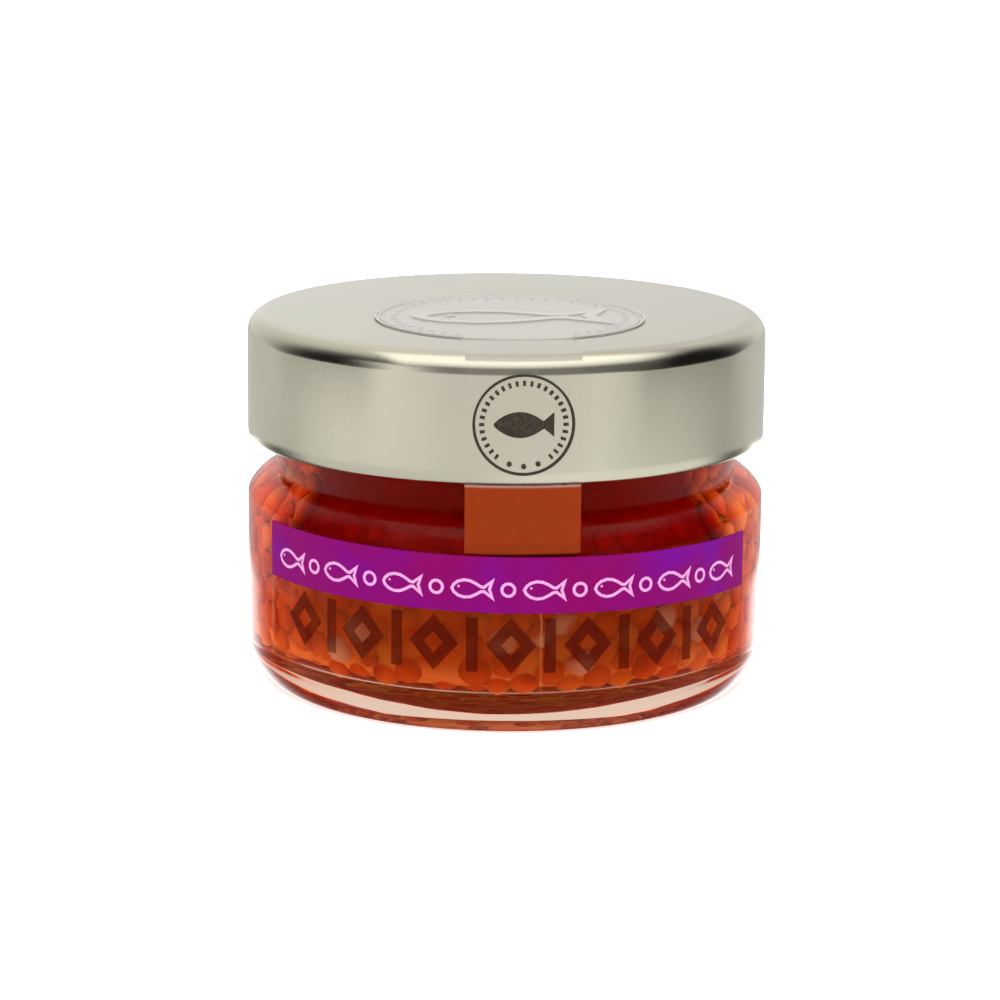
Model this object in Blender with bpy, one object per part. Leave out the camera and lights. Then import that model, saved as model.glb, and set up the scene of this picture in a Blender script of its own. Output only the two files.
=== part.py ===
"""A small clear jar of salmon roe with a deep metal twist-off lid.

Metres, +Z up. The origin is on the jar's axis at the surface that the jar stands on.
The label and the seal's tail face -Y.
"""

import random
from math import asin, atan2, cos, hypot, pi, radians, sin, sqrt, tan

import bmesh
import bpy
from mathutils import Euler, Matrix, Vector

MM = 0.001

# The whole
TOTAL_HEIGHT = 47.0 * MM
ROUND_STEPS = 48  # sides of the glass and the lid
ARC_STEPS = 5  # straight pieces in each outer rounding
INNER_ARC_STEPS = 4
SAME_POINT = 0.001 * MM

# Lid: a deep 63 mm twist-off cap
LID_RADIUS = 33.0 * MM
LID_SKIRT = 15.9 * MM
LID_SHEET = 0.8 * MM
LID_SHOULDER = 2.6 * MM  # rounding between the top and the skirt
LID_CURL = 0.8 * MM  # radius of the rolled lower edge
LID_CURL_STEPS = 6
LID_CURL_TOP = 2.1 * MM  # height over the lid's foot where the roll meets the skirt's inside
LID_INNER_CORNER = 1.3 * MM

# Glass
GLASS_RADIUS = 33.0 * MM
NECK_RADIUS = 29.4 * MM
NECK_FOOT = 27.0 * MM  # height where the neck meets the shoulder
SHOULDER_FOOT = 23.9 * MM  # height where the shoulder meets the straight wall
SHOULDER_POWER = 1.45  # 1 is a straight cone, 2 a quarter ellipse
HEEL_HEIGHT = 4.6 * MM
HEEL_POWER = 1.4
FOOT_RADIUS = 30.4 * MM
WALL = 2.4 * MM
FLOOR = 4.3 * MM
INNER_HEEL = 4.5 * MM
PUNT_RADIUS = 27.5 * MM  # the recess under the jar, inside the ring that it stands on
PUNT_DEPTH = 1.98 * MM
PUNT_SLOPE = 2.5 * MM
RIM_ROUNDING = 0.8 * MM
RIM_GAP = 0.3 * MM

# Roe
EGG_RADIUS = 2.1 * MM
EGG_SPREAD = 0.2 * MM
EGG_PITCH = 5.2 * MM
EGG_ROW = 4.7 * MM
EGG_RINGS = 7
EGG_JITTER = 0.4 * MM
EGG_SEED = 11
EGG_TOP = 31.5 * MM  # just inside the lid's skirt, where the eggs' track ends
EGG_START = 23.5 * MM  # the first ring's distance along the track: the floor's middle stays plain
ROE_LEVEL = 43.5 * MM
CLEARANCE = 0.3 * MM
EGG_STAND = 1.9 * MM  # how far an egg stands out of the core

# Label: a clear film whose upper part is a coloured band
LABEL_GAP = 0.2 * MM
LABEL_SHEET = 0.2 * MM
LABEL_HALF_ANGLE = radians(61.5)
LABEL_TURN = radians(1.5)  # its middle lies a little to the right of the front
LABEL_TILT = radians(0.9)  # the label was stuck on a little crooked
BAND_TOP = 22.5 * MM
BAND_FOOT = 15.6 * MM
FILM_FOOT = 5.6 * MM
LABEL_SPLIT = 0.1 * MM
LABEL_COLUMNS = 18

# Seal: a round head on the lid's top, whose tail runs down over the skirt to the label
SEAL_HEAD_RADIUS = 17.6 * MM
SEAL_HEAD_FORWARD = 5.8 * MM  # how far the head sits in front of the axis
SEAL_TAIL_WIDTH = 14.0 * MM
SEAL_ANGLE = radians(3.8)  # the whole seal sits a little to the right of the front
SEAL_HEAD_STEPS = 26
SEAL_COLUMNS = 6


def clear_scene():
    for old in list(bpy.data.objects):
        bpy.data.objects.remove(old, do_unlink=True)


def make_material(name, colour, roughness, metallic=0.0, transmission=0.0):
    material = bpy.data.materials.new(name)
    material.use_nodes = True
    shader = material.node_tree.nodes["Principled BSDF"]
    shader.inputs["Base Color"].default_value = (*colour, 1.0)
    shader.inputs["Roughness"].default_value = roughness
    shader.inputs["Metallic"].default_value = metallic
    shader.inputs["Transmission Weight"].default_value = transmission
    return material


def add_object(name, mesh_builder, material=None):
    mesh = bpy.data.meshes.new(name)
    mesh_builder.normal_update()
    mesh_builder.to_mesh(mesh)
    mesh_builder.free()
    made = bpy.data.objects.new(name, mesh)
    bpy.context.scene.collection.objects.link(made)
    if material:
        mesh.materials.append(material)
        mesh.shade_smooth()
        mesh.set_sharp_from_angle(angle=radians(35))
    return made


def power_arc(centre, start, end, power, steps):
    """A quarter of a superellipse from start to end, both straight out from the centre."""
    points = []
    for step in range(steps + 1):
        turn = pi / 2 * step / steps
        leaving = cos(turn) ** (2 / power) if step < steps else 0
        coming = sin(turn) ** (2 / power)
        points.append(
            tuple(
                middle + (first - middle) * leaving + (last - middle) * coming
                for middle, first, last in zip(centre, start, end)
            )
        )
    return points


def turn_profile(name, profile, material, steps=ROUND_STEPS):
    """Turns an outline of (radius, height) points about Z. It ends on the axis, or is closed here."""
    builder = bmesh.new()
    points = [builder.verts.new((radius, 0, height)) for radius, height in profile]
    edges = [builder.edges.new(pair) for pair in zip(points, points[1:])]
    if profile[0][0] > 0 or profile[-1][0] > 0:
        edges.append(builder.edges.new((points[-1], points[0])))
    bmesh.ops.spin(
        builder,
        geom=points + edges,
        cent=(0, 0, 0),
        axis=(0, 0, 1),
        angle=2 * pi,
        steps=steps,
        use_merge=True,
    )
    bmesh.ops.remove_doubles(builder, verts=builder.verts, dist=SAME_POINT)
    bmesh.ops.dissolve_degenerate(builder, dist=SAME_POINT, edges=builder.edges)
    bmesh.ops.recalc_face_normals(builder, faces=builder.faces)
    return add_object(name, builder, material)


def glass_outline():
    rim = TOTAL_HEIGHT - LID_SHEET - RIM_GAP
    outside = [
        (0, PUNT_DEPTH),
        (PUNT_RADIUS - PUNT_SLOPE, PUNT_DEPTH),
        (PUNT_RADIUS, 0),
        *power_arc(
            (FOOT_RADIUS, HEEL_HEIGHT),
            (FOOT_RADIUS, 0),
            (GLASS_RADIUS, HEEL_HEIGHT),
            HEEL_POWER,
            ARC_STEPS,
        ),
        *power_arc(
            (NECK_RADIUS, SHOULDER_FOOT),
            (GLASS_RADIUS, SHOULDER_FOOT),
            (NECK_RADIUS, NECK_FOOT),
            SHOULDER_POWER,
            ARC_STEPS,
        ),
        (NECK_RADIUS, rim - RIM_ROUNDING),
        (NECK_RADIUS - RIM_ROUNDING, rim),
        (NECK_RADIUS - WALL, rim),
    ]
    return outside + cavity_outline(0, rim - RIM_ROUNDING)[::-1]


def cavity_outline(inset, top):
    """The jar's inside, moved in by inset, from the axis on the floor up to the height top."""
    wall = GLASS_RADIUS - WALL
    neck = NECK_RADIUS - WALL
    corner = wall - INNER_HEEL
    rounding = INNER_HEEL - inset
    points = [(0, FLOOR + inset)]
    for step in range(INNER_ARC_STEPS + 1):
        turn = pi / 2 * step / INNER_ARC_STEPS
        points.append((corner + rounding * sin(turn), FLOOR + INNER_HEEL - rounding * cos(turn)))
    slope = atan2(GLASS_RADIUS - NECK_RADIUS, NECK_FOOT - SHOULDER_FOOT)
    drop = (WALL + inset) * tan(slope / 2)
    foot = SHOULDER_FOOT - drop
    head = NECK_FOOT - drop
    points += power_arc(
        (neck - inset, foot),
        (wall - inset, foot),
        (neck - inset, head),
        SHOULDER_POWER,
        INNER_ARC_STEPS,
    )
    points.append((neck - inset, top))
    return points


def lid_outline():
    top = TOTAL_HEIGHT
    foot = TOTAL_HEIGHT - LID_SKIRT
    inner = LID_RADIUS - LID_SHEET
    curl = LID_RADIUS - LID_CURL
    reach = LID_RADIUS - LID_SHOULDER
    points = [(0, top)]
    for step in range(ARC_STEPS + 1):
        turn = pi / 2 * step / ARC_STEPS
        points.append((reach + LID_SHOULDER * sin(turn), top - LID_SHOULDER * (1 - cos(turn))))
    for step in range(LID_CURL_STEPS + 1):
        turn = pi * step / LID_CURL_STEPS
        points.append((curl + LID_CURL * cos(turn), foot + LID_CURL - LID_CURL * sin(turn)))
    points += [
        (inner, foot + LID_CURL_TOP),
        (inner, top - LID_SHEET - LID_INNER_CORNER),
        (inner - LID_INNER_CORNER, top - LID_SHEET),
        (0, top - LID_SHEET),
    ]
    return points


def point_along(outline, distance):
    """The point at this distance along an outline."""
    for start, end in zip(outline, outline[1:]):
        length = hypot(end[0] - start[0], end[1] - start[1])
        if distance <= length:
            break
        distance -= length
    share = min(distance / length, 1)
    return start[0] + (end[0] - start[0]) * share, start[1] + (end[1] - start[1]) * share


def egg_places():
    """Rings of eggs that follow the jar's inside, each ring turned half a step to the last."""
    track = cavity_outline(CLEARANCE + EGG_RADIUS, EGG_TOP)
    draw = random.Random(EGG_SEED)
    places = []
    for ring in range(EGG_RINGS):
        distance = EGG_START + ring * EGG_ROW
        count = round(2 * pi * point_along(track, distance)[0] / EGG_PITCH)
        for index in range(count):
            radius, height = point_along(track, distance + draw.uniform(-1, 1) * EGG_JITTER)
            turn = 2 * pi * (index + 0.5 * (ring % 2)) / count
            turn += draw.uniform(-1, 1) * EGG_JITTER / radius
            size = EGG_RADIUS - draw.uniform(0, 1) * EGG_SPREAD
            spin = Euler([draw.uniform(0, 2 * pi) for _ in range(3)])
            places.append((size, spin, Vector((radius * cos(turn), radius * sin(turn), height))))
    return sorted(places, key=lambda place: -place[0])


def build_roe(material):
    """A core inside the jar, with the eggs that lie against the glass fused onto it."""
    outline = cavity_outline(CLEARANCE + EGG_STAND, ROE_LEVEL) + [(0, ROE_LEVEL)]
    core = turn_profile("roe", outline, material, steps=ROUND_STEPS // 2)
    eggs = bpy.data.collections.new("eggs")
    bpy.context.scene.collection.children.link(eggs)
    for index, (size, spin, place) in enumerate(egg_places()):
        builder = bmesh.new()
        bmesh.ops.create_icosphere(builder, subdivisions=1, radius=size)
        bmesh.ops.rotate(builder, verts=builder.verts, matrix=spin.to_matrix())
        bmesh.ops.translate(builder, verts=builder.verts, vec=place)
        egg = add_object(f"egg_{index}", builder)
        bpy.context.scene.collection.objects.unlink(egg)
        eggs.objects.link(egg)
    union = core.modifiers.new("eggs", "BOOLEAN")
    union.operation = "UNION"
    union.operand_type = "COLLECTION"
    union.collection = eggs
    union.solver = "MANIFOLD"
    bpy.context.view_layer.objects.active = core
    bpy.ops.object.modifier_apply(modifier=union.name)
    for egg in list(eggs.objects):
        bpy.data.objects.remove(egg, do_unlink=True)
    bpy.data.collections.remove(eggs)
    core.data.shade_smooth()
    core.data.set_sharp_from_angle(angle=radians(50))
    return core


def finish_sheet(name, builder, material):
    """Gives a surface, whose faces point outwards, the thickness of the film."""
    made = add_object(name, builder, material)
    wall = made.modifiers.new("film", "SOLIDIFY")
    wall.thickness = LABEL_SHEET
    wall.offset = 1
    wall.use_even_offset = True
    return made


def add_rows(builder, rows):
    """Faces between rows of points that run left to right, the lowest row last."""
    for upper, lower in zip(rows, rows[1:]):
        for index in range(len(upper) - 1):
            builder.faces.new((upper[index], lower[index], lower[index + 1], upper[index + 1]))


def build_label_piece(name, foot, top, material):
    """A piece of the label, wrapped round the glass and leaning with the label's tilt."""
    builder = bmesh.new()
    radius = GLASS_RADIUS + LABEL_GAP
    rows = []
    for height in (top, foot):
        row = []
        for column in range(LABEL_COLUMNS + 1):
            turn = LABEL_TURN + LABEL_HALF_ANGLE * (2 * column / LABEL_COLUMNS - 1)
            level = height - turn * GLASS_RADIUS * tan(LABEL_TILT)
            row.append(builder.verts.new((radius * sin(turn), -radius * cos(turn), level)))
        rows.append(row)
    add_rows(builder, rows)
    return finish_sheet(name, builder, material)


def seal_tail_track():
    """The tail's path down in the plane of the axis, from the lid's shoulder to the label."""
    reach = LID_RADIUS - LID_SHOULDER
    radius = LID_SHOULDER + LABEL_GAP
    track = []
    for step in range(ARC_STEPS + 1):
        turn = pi / 2 * step / ARC_STEPS
        height = TOTAL_HEIGHT - LID_SHOULDER + radius * cos(turn)
        track.append((reach + radius * sin(turn), height))
    track.append((track[-1][0], BAND_TOP + 3 * LABEL_SPLIT))
    return track


def build_seal(material):
    builder = bmesh.new()
    half = SEAL_TAIL_WIDTH / 2
    top = TOTAL_HEIGHT + LABEL_GAP
    start = asin(half / SEAL_HEAD_RADIUS)
    junction = SEAL_HEAD_FORWARD + SEAL_HEAD_RADIUS * cos(start)
    across = [half * (2 * column / SEAL_COLUMNS - 1) for column in range(SEAL_COLUMNS + 1)]
    rows = [[builder.verts.new((x, -junction, top)) for x in across]]
    for radius, height in seal_tail_track():
        rows.append([builder.verts.new((x, -sqrt(radius**2 - x**2), height)) for x in across])
    add_rows(builder, rows)
    head = list(rows[0])
    for step in range(1, SEAL_HEAD_STEPS):
        turn = start + (2 * pi - 2 * start) * step / SEAL_HEAD_STEPS
        x = SEAL_HEAD_RADIUS * sin(turn)
        y = -SEAL_HEAD_FORWARD - SEAL_HEAD_RADIUS * cos(turn)
        head.append(builder.verts.new((x, y, top)))
    builder.faces.new(head)
    bmesh.ops.rotate(builder, verts=builder.verts, matrix=Matrix.Rotation(SEAL_ANGLE, 3, "Z"))
    return finish_sheet("seal", builder, material)


def build():
    clear_scene()
    glass = make_material("clear glass", (0.9, 0.92, 0.9), 0.03, transmission=1.0)
    metal = make_material("satin champagne tinplate", (0.56, 0.53, 0.46), 0.35, metallic=1.0)
    flesh = make_material("salmon roe", (0.42, 0.06, 0.01), 0.25)
    purple = make_material("purple printed film", (0.24, 0.005, 0.17), 0.4)
    film = make_material("clear label film", (0.8, 0.62, 0.5), 0.2)
    seal = make_material("frosted seal film", (0.75, 0.7, 0.65), 0.4)
    turn_profile("glass_jar", glass_outline(), glass)
    turn_profile("lid", lid_outline(), metal)
    build_roe(flesh)
    build_label_piece("label_band", BAND_FOOT, BAND_TOP, purple)
    build_label_piece("label_film", FILM_FOOT, BAND_FOOT - LABEL_SPLIT, film)
    build_seal(seal)


build()
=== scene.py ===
from math import asin, atan2, cos, hypot, pi, radians, sin, sqrt, tan

import bpy
import numpy as np
from mathutils import Matrix, Vector


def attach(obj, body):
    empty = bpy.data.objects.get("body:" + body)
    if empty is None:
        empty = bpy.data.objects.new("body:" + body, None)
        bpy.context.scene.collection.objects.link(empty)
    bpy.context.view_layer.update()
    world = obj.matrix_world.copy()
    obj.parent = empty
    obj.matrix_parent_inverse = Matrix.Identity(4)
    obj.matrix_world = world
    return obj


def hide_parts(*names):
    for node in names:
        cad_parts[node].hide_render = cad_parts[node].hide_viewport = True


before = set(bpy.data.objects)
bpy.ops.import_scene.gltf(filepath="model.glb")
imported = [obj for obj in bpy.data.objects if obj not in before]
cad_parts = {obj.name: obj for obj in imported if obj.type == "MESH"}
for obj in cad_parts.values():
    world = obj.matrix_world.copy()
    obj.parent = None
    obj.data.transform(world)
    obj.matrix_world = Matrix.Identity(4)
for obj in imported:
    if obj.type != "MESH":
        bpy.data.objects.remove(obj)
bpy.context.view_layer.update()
mm = 0.001


def fromHex(code):
    # an sRGB hex colour as the linear colour that the shaders take
    parts = [int(code[index:index + 2], 16) / 255 for index in (0, 2, 4)]
    return (*[part / 12.92 if part < 0.04045 else ((part + 0.055) / 1.055) ** 2.4 for part in parts], 1)


def addNode(tree, kind, links=None, **settings):
    # one node, with its settings and what goes into its sockets
    node = tree.nodes.new(kind)
    for name, value in settings.items():
        setattr(node, name, value)
    for socket, value in (links or {}).items():
        if isinstance(value, bpy.types.NodeSocket):
            tree.links.new(value, node.inputs[socket])
        else:
            node.inputs[socket].default_value = value
    return node


def addRamp(tree, value, stops):
    # a colour ramp with its stops as (place, hex colour)
    ramp = addNode(tree, "ShaderNodeValToRGB", {"Fac": value})
    elements = ramp.color_ramp.elements
    while len(elements) > 1:
        elements.remove(elements[-1])
    elements[0].position = stops[0][0]
    elements[0].color = fromHex(stops[0][1])
    for place, code in stops[1:]:
        elements.new(place).color = fromHex(code)
    return ramp.outputs["Color"]


def ease(tree, value, start, end, low=0.0, high=1.0):
    # goes smoothly from low to high as the value goes from start to end
    return addNode(tree, "ShaderNodeMapRange", {
        "Value": value, "From Min": start, "From Max": end, "To Min": low, "To Max": high,
    }, interpolation_type="SMOOTHSTEP").outputs["Result"]


def combineIn(tree, operation, first, second):
    return addNode(tree, "ShaderNodeMath", {0: first, 1: second}, operation=operation).outputs[0]


def blendColours(tree, share, first, second):
    # sockets 6 and 7 of a Mix node are its two colours, and output 2 is the mixed one
    return addNode(tree, "ShaderNodeMix", {0: share, 6: first, 7: second}, data_type="RGBA").outputs[2]


def startMaterial(name, **values):
    # a Principled material with its plain values on the shader's own sockets
    material = bpy.data.materials.new(name)
    material.use_nodes = True
    shader = material.node_tree.nodes["Principled BSDF"]
    for socket, value in values.items():
        shader.inputs[socket.replace("_", " ")].default_value = value
    return material, material.node_tree, shader


def objectPlace(tree):
    return addNode(tree, "ShaderNodeTexCoord").outputs["Object"]


def addGrain(tree, shader, size, strength, depth, detail=2.0):
    # a fine relief with grains of this size in mm
    grain = addNode(tree, "ShaderNodeTexNoise", {
        "Vector": objectPlace(tree), "Scale": 1 / (size * mm), "Detail": detail,
    }).outputs["Fac"]
    bump = addNode(tree, "ShaderNodeBump", {"Height": grain, "Strength": strength, "Distance": depth * mm})
    tree.links.new(bump.outputs["Normal"], shader.inputs["Normal"])
    return grain


def clearSelection():
    for other in list(bpy.context.selected_objects):
        other.select_set(False)
    bpy.context.view_layer.objects.active = None


def selectOnly(shape):
    clearSelection()
    shape.select_set(True)
    bpy.context.view_layer.objects.active = shape


def joinShapes(shapes):
    clearSelection()
    for shape in shapes:
        shape.select_set(True)
    bpy.context.view_layer.objects.active = shapes[0]
    if len(shapes) > 1:
        bpy.ops.object.join()
    return shapes[0]


def settle(shape, name, material, node, smoothAngle=40):
    # a finished piece: its place goes into its mesh, and it takes its name, finish and CAD node
    selectOnly(shape)
    bpy.ops.object.transform_apply(location=True, rotation=True, scale=True)
    shape.name = name
    shape.data.name = name
    shape.data.materials.clear()
    shape.data.materials.append(material)
    bpy.ops.object.shade_smooth_by_angle(angle=radians(smoothAngle))
    clearSelection()
    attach(shape, "root")
    if node:
        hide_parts(node)
    return shape


def arc(centre, radius, start, end, steps):
    # points of a rounding; the angles are in degrees, 0 outwards and 90 up
    points = []
    for step in range(steps + 1):
        turn = radians(start + (end - start) * step / steps)
        points.append((centre[0] + radius * cos(turn), centre[1] + radius * sin(turn)))
    return points


def powerArc(centre, start, end, power, steps):
    # a quarter of a superellipse from start to end, both straight out from the centre
    points = []
    for step in range(steps + 1):
        turn = pi / 2 * step / steps
        leaving = cos(turn) ** (2 / power) if step < steps else 0
        coming = sin(turn) ** (2 / power)
        points.append(tuple(
            middle + (first - middle) * leaving + (last - middle) * coming
            for middle, first, last in zip(centre, start, end)
        ))
    return points


def spinShape(outline, steps):
    # one vertex is drawn out along the outline, in mm, and spun about the jar's axis
    clearSelection()
    first = outline[0]
    bpy.ops.mesh.primitive_plane_add(size=mm, location=(first[0] * mm, 0, first[1] * mm))
    shape = bpy.context.object
    bpy.ops.object.mode_set(mode="EDIT")
    bpy.ops.mesh.select_all(action="SELECT")
    bpy.ops.mesh.merge(type="CENTER")
    for start, end in zip(outline, outline[1:]):
        step = ((end[0] - start[0]) * mm, 0, (end[1] - start[1]) * mm)
        bpy.ops.mesh.extrude_region_move(TRANSFORM_OT_translate={"value": step})
    bpy.ops.mesh.select_all(action="SELECT")
    bpy.ops.mesh.spin(steps=steps, angle=2 * pi, center=(0, 0, 0), axis=(0, 0, 1))
    bpy.ops.mesh.select_all(action="SELECT")
    bpy.ops.mesh.remove_doubles(threshold=0.002 * mm)
    bpy.ops.mesh.normals_make_consistent(inside=False)
    bpy.ops.object.mode_set(mode="OBJECT")
    return shape


def sheetOf(rows):
    # a grid primitive whose points are laid out in rows, in mm, the top row first
    clearSelection()
    across = len(rows[0]) - 1
    down = len(rows) - 1
    bpy.ops.mesh.primitive_grid_add(x_subdivisions=across, y_subdivisions=down, size=1)
    shape = bpy.context.object
    for vertex in shape.data.vertices:
        column = round((vertex.co.x + 0.5) * across)
        row = round((0.5 - vertex.co.y) * down)
        vertex.co = Vector(rows[row][column]) * mm
    return shape


def thicken(shape, thickness):
    # gives a film or an ink its thickness, outwards
    selectOnly(shape)
    wall = shape.modifiers.new("thickness", "SOLIDIFY")
    wall.thickness = thickness * mm
    wall.offset = 1
    wall.use_even_offset = True
    bpy.ops.object.modifier_apply(modifier=wall.name)
    return shape


# the camera that the photo's view was fitted to
camera = {"place": (0, -447.04, 121.17), "pitch": 12.4875, "roll": 0.549, "focal": 127.865, "shift": -0.00499}

bpy.ops.object.camera_add()
view = bpy.context.object
view.name = "camera"
view.data.lens = camera["focal"]
view.data.sensor_width = 36
view.data.shift_x = camera["shift"]
view.data.clip_start = 10 * mm
lookDown = Matrix.Rotation(radians(90 - camera["pitch"]), 4, "X")
view.matrix_world = (
    Matrix.Translation(Vector(camera["place"]) * mm) @ lookDown @ Matrix.Rotation(radians(camera["roll"]), 4, "Z"))
bpy.context.scene.camera = view
bpy.context.scene.view_settings.view_transform = "Standard"

studio = {"matt": 1.45, "behind": 0.9, "table": 0.5, "keyWatts": 12.0}

# A studio round the jar: white below and behind, and in front a wall that darkens towards the horizon
world = bpy.data.worlds.new("studio")
bpy.context.scene.world = world
world.use_nodes = True
tree = world.node_tree
axes = addNode(tree, "ShaderNodeSeparateXYZ", {
    "Vector": addNode(tree, "ShaderNodeTexCoord").outputs["Generated"]}).outputs


def addSteps(value, stops):
    # a grey level that follows its (place, level) stops, as the world's brightness along one axis
    low = stops[0][0]
    reach = stops[-1][0] - low
    place = addNode(tree, "ShaderNodeMapRange", {"Value": value, "From Min": low, "From Max": low + reach})
    ramp = addNode(tree, "ShaderNodeValToRGB", {"Fac": place.outputs["Result"]})
    elements = ramp.color_ramp.elements
    while len(elements) > 1:
        elements.remove(elements[-1])
    for index, (spot, level) in enumerate(stops):
        element = elements[0] if index == 0 else elements.new((spot - low) / reach)
        element.position = (spot - low) / reach
        element.color = (level, level, level, 1)
    return ramp.outputs["Color"]


def combine(operation, first, second):
    return addNode(tree, "ShaderNodeMath", {0: first, 1: second}, operation=operation).outputs[0]


side = combine("ABSOLUTE", axes["X"], 0.0)
# above the horizon: a bright tent that falls off to dark flags at both sides, sooner on the right
drop = combine("SUBTRACT", 0.5, axes["Y"])
dropLeft = combine("ADD", side, combine("MULTIPLY", combine("MAXIMUM", drop, 0.0), 0.25))
tentLeft = addSteps(dropLeft, [
    (0, 0.76), (0.3, 0.76), (0.42, 0.75), (0.5, 0.73), (0.6, 0.7), (0.7, 0.62), (0.82, 0.48), (0.86, 0.38), (0.89, 0.3),
    (0.93, 0.22), (0.96, 0.16), (1.0, 0.1), (1.05, 0.05), (1.1, 0.02), (1.2, 0.012)])
dropRight = combine("ADD", side, combine("MULTIPLY", drop, 0.6))
tentRight = addSteps(dropRight, [
    (0, 0.76), (0.25, 0.76), (0.38, 0.7), (0.49, 0.6), (0.6, 0.48), (0.72, 0.28), (0.82, 0.125), (0.91, 0.055),
    (0.98, 0.025), (1.1, 0.012)])
right = ease(tree, axes["X"], 0.1, 0.3)
tent = addNode(tree, "ShaderNodeMix", {"Factor": right, "A": tentLeft, "B": tentRight}).outputs["Result"]
tent = combine("MULTIPLY", tent, addSteps(axes["X"], [
    (-1, 1), (-0.42, 1), (-0.28, 1.12), (-0.15, 1.13), (0.15, 0.94), (0.3, 0.96), (0.42, 1), (1, 1)]))
# a softbox overhead, towards the camera, that reaches lower on the right
height = combine("SUBTRACT", axes["Z"], addSteps(axes["X"], [
    (-1, 0), (-0.64, 0), (-0.44, 0.09), (0, 0.12), (0.6, 0.15), (1, 0.15)]))
reach = combine("ADD", side, combine("MULTIPLY", axes["Y"], 0.3))
insideLeft = ease(tree, reach, 0.59, 0.49)
insideRight = ease(tree, reach, 0.9, 0.6)
inside = addNode(tree, "ShaderNodeMix", {"Factor": right, "A": insideLeft, "B": insideRight}).outputs["Result"]
inside = combine("MULTIPLY", inside, ease(tree, combine("SUBTRACT", axes["Y"], ease(
    tree, axes["X"], -0.1, 0.2, 0, 0.06)), 0.4, 0.0))
box = addSteps(height, [(0.36, 0.3), (0.5, 0.75), (0.63, 1.2), (0.75, 1.5), (1, 1.5)])
upper = addNode(tree, "ShaderNodeMix", {"Factor": inside, "A": tent, "B": box}).outputs["Result"]
# the room under it, in front
room = addSteps(axes["X"], [
    (-1, 0.01), (-0.97, 0.05), (-0.92, 0.1), (-0.85, 0.4), (-0.75, 0.95), (-0.65, 0.75), (-0.5, 0.3), (-0.4, 0.25),
    (0, 0.24), (0.4, 0.21), (0.66, 0.19), (0.8, 0.14), (0.94, 0.06), (1, 0.012)])
under = combine("MULTIPLY", ease(tree, height, 0.5, 0.3), ease(tree, axes["Y"], -0.15, -0.4))
upper = addNode(tree, "ShaderNodeMix", {"Factor": under, "A": upper, "B": room}).outputs["Result"]
# below it: the table, with one profile where the lid's skirt mirrors it and one where the glass does
lower = addSteps(axes["X"], [(-1, 0.9), (-0.8, 0.9), (-0.6, 0.84), (-0.35, 0.77), (0.35, 0.77), (0.5, 0.8), (0.65, 0.86),
                             (0.9, 0.7), (1.0, 0.68)])
lower = combine("MULTIPLY", lower, addSteps(axes["Y"], [(-0.2, 1), (0.3, 0.74), (0.8, 0.74), (0.95, 0.8)]))
edges = addSteps(axes["Y"], [
    (-1, 0.75), (0.1, 0.7), (0.4, 0.2), (0.5, 0.1), (0.62, 0.2), (0.74, 0.65), (0.82, 1.6), (0.95, 2.2)])
edges = combine("MULTIPLY", edges, ease(tree, axes["X"], -0.3, 0.3, 1.0, 1.3))
lower = addNode(tree, "ShaderNodeMix", {
    "Factor": ease(tree, axes["Z"], -0.213, -0.235), "A": lower, "B": edges}).outputs["Result"]
horizon = combine("SUBTRACT", axes["Z"], ease(tree, side, 0.9, 0.75, 0, 0.1))
below = ease(tree, horizon, -0.08, -0.17)
level = addNode(tree, "ShaderNodeMix", {"Factor": below, "A": upper, "B": lower}).outputs["Result"]
path = addNode(tree, "ShaderNodeLightPath").outputs
matt = combine("GREATER_THAN", path["Diffuse Depth"], 0.5)
through = combine("GREATER_THAN", path["Transmission Depth"], 0.5)
level = addNode(tree, "ShaderNodeMix", {"Factor": through, "A": level, "B": studio["behind"]}).outputs["Result"]
level = addNode(tree, "ShaderNodeMix", {"Factor": matt, "A": level, "B": studio["matt"]}).outputs["Result"]
strength = addNode(tree, "ShaderNodeMix", {"Factor": path["Is Camera Ray"], "A": level, "B": 1.0}).outputs["Result"]
tree.links.new(strength, tree.nodes["Background"].inputs["Strength"])
tree.nodes["Background"].inputs["Color"].default_value = (1, 1, 1, 1)

bpy.ops.mesh.primitive_plane_add(size=3, location=(0, 0.6, 0))
table = bpy.context.object
tablePaint, tree, shader = startMaterial("matt white table paint", Roughness=0.75)
speckle = addNode(tree, "ShaderNodeTexNoise", {"Scale": 900.0, "Detail": 2.0}).outputs["Fac"]
paint = addRamp(tree, speckle, [(0.3, "f2f1ef"), (0.7, "f8f7f5")])
tree.links.new(paint, shader.inputs["Base Color"])
tree.links.new(paint, shader.inputs["Emission Color"])
shader.inputs["Emission Strength"].default_value = studio["table"]
table.name = "tableTop"
table.data.materials.append(tablePaint)
table.visible_glossy = False


def addSoftbox(name, place, size, watts):
    # a soft light aimed at the jar's middle, which no gloss mirrors
    bpy.ops.object.light_add(type="AREA", location=Vector(place))
    lamp = bpy.context.object
    lamp.name = name
    lamp.data.shape = "RECTANGLE"
    lamp.data.size, lamp.data.size_y = size
    lamp.data.energy = watts
    lamp.visible_glossy = False
    lamp.rotation_euler = (Vector((0, 0, 0.025)) - Vector(place)).to_track_quat("-Z", "Y").to_euler()


addSoftbox("keySoftbox", (0, -0.1, 0.9), (0.9, 0.9), studio["keyWatts"])
print("stage: camera, table and lights are set")

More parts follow.
